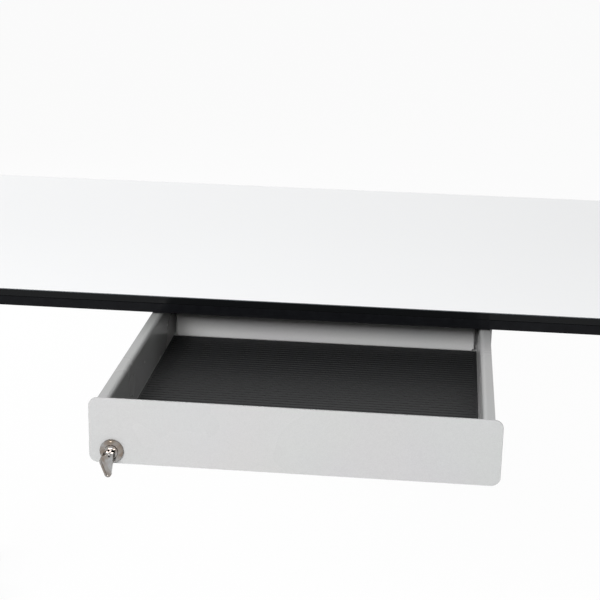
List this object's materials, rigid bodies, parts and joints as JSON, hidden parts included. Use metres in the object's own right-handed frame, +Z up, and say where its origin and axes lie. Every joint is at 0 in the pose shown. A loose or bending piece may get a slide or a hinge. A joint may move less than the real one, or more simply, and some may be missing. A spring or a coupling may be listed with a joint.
{
  "type": "drafting table",
  "caption": "Glass-faced drafting table whose top tilts on two columns, with a shallow lockable sheet-metal drawer pulled out under the front edge.",
  "frame": {"origin": "on the floor, below the middle of the object's box with the drawer pulled out", "axes": "+X to the user's right, +Y to the back, +Z up"},
  "size_m": [1.4, 0.9685, 0.75],
  "materials": {
    "glass": "polished glass, lacquered white behind",
    "lacquer": "black gloss lacquer",
    "silver": "satin silver-grey powder coat",
    "zinc": "bright zinc plate",
    "chrome": "polished chrome plate",
    "plastic": "fine-grained black moulding",
    "mat": "ribbed black rubber"
  },
  "bodies": {
    "base": {"foot_bar_left": "silver", "foot_bar_right": "silver", "foot_caps": "plastic", "foot_nuts": "zinc", "column_left": "silver", "column_right": "silver", "column_caps": "plastic", "column_bolts": "zinc", "crossbeam": "silver", "crossbeam_caps": "plastic", "crossbeam_bolts": "zinc", "pivot_pins": "zinc", "pivot_nuts": "zinc", "clamp_studs": "zinc", "clamp_washers": "zinc"},
    "top": {"glass_top": "glass", "top_board": "lacquer", "tilt_bracket_left": "silver", "tilt_bracket_right": "silver", "bracket_screws": "zinc", "pivot_bushes": "plastic", "hanger_left": "silver", "hanger_right": "silver", "hanger_screws": "zinc", "slide_outer_left": "zinc", "slide_outer_right": "zinc", "slide_outer_screws": "zinc"},
    "drawer": {"drawer_pan": "silver", "drawer_back": "silver", "back_rivets": "zinc", "drawer_front": "silver", "front_nuts": "zinc", "drawer_mat": "mat", "slide_inner_left": "zinc", "slide_inner_right": "zinc", "slide_inner_screws": "zinc", "lock_barrel": "chrome", "lock_nut": "zinc"},
    "slide_middles": {"slide_middle_left": "zinc", "slide_middle_right": "zinc"},
    "outer_cages": {"outer_ball_cages": "zinc"},
    "inner_cages": {"inner_ball_cages": "zinc"},
    "lock": {"lock_plug": "chrome", "lock_cam": "zinc", "cam_screw": "zinc"},
    "key": {"key_blade": "chrome", "key_pin": "zinc"},
    "bow": {"key_bow": "chrome"},
    "knob_left": {"tilt_knob_left": "plastic"},
    "knob_right": {"tilt_knob_right": "plastic"},
    "levelling_foot_front_left": {"levelling_foot_front_left": "plastic"},
    "levelling_foot_front_right": {"levelling_foot_front_right": "plastic"},
    "levelling_foot_back_left": {"levelling_foot_back_left": "plastic"},
    "levelling_foot_back_right": {"levelling_foot_back_right": "plastic"}
  },
  "joints": [
    {"name": "top_tilt", "type": "hinge", "parent": "base", "child": "top", "pos_m": [0, 0.159, 0.668], "axis": [1, 0, 0], "range_deg": [0, 40]},
    {"name": "drawer_slide", "type": "slide", "parent": "top", "child": "drawer", "axis": [0, -1, 0], "range_m": [-0.32, 0.03]},
    {"name": "middle_slide", "type": "slide", "parent": "top", "child": "slide_middles", "axis": [0, -1, 0], "range_m": [-0.16, 0.015]},
    {"name": "outer_cage_roll", "type": "slide", "parent": "top", "child": "outer_cages", "axis": [0, -1, 0], "range_m": [-0.08, 0.0075]},
    {"name": "inner_cage_roll", "type": "slide", "parent": "top", "child": "inner_cages", "axis": [0, -1, 0], "range_m": [-0.24, 0.0225]},
    {"name": "lock_turn", "type": "hinge", "parent": "drawer", "child": "lock", "pos_m": [-0.1995, -0.471, 0.6655], "axis": [0, 1, 0], "range_deg": [0, 180]},
    {"name": "key_pull", "type": "slide", "parent": "lock", "child": "key", "axis": [0, -1, 0], "range_m": [0, 0.03]},
    {"name": "key_fold", "type": "hinge", "parent": "key", "child": "bow", "pos_m": [-0.1995, -0.482, 0.6655], "axis": [-0.9976, 0, 0.0698], "range_deg": [0, 180]},
    {"name": "knob_left_turn", "type": "hinge", "parent": "base", "child": "knob_left", "pos_m": [-0.614, 0.159, 0.593], "axis": [-1, 0, 0], "range_deg": [0, 270]},
    {"name": "knob_right_turn", "type": "hinge", "parent": "base", "child": "knob_right", "pos_m": [0.614, 0.159, 0.593], "axis": [1, 0, 0], "range_deg": [0, 270]},
    {"name": "level_front_left", "type": "slide", "parent": "base", "child": "levelling_foot_front_left", "axis": [0, 0, -1], "range_m": [0, 0.012]},
    {"name": "level_front_right", "type": "slide", "parent": "base", "child": "levelling_foot_front_right", "axis": [0, 0, -1], "range_m": [0, 0.012]},
    {"name": "level_back_left", "type": "slide", "parent": "base", "child": "levelling_foot_back_left", "axis": [0, 0, -1], "range_m": [0, 0.012]},
    {"name": "level_back_right", "type": "slide", "parent": "base", "child": "levelling_foot_back_right", "axis": [0, 0, -1], "range_m": [0, 0.012]}
  ],
  "couplings": [
    {"joint": "middle_slide", "follows": "drawer_slide", "ratio": 0.5},
    {"joint": "outer_cage_roll", "follows": "drawer_slide", "ratio": 0.25},
    {"joint": "inner_cage_roll", "follows": "drawer_slide", "ratio": 0.75}
  ]
}
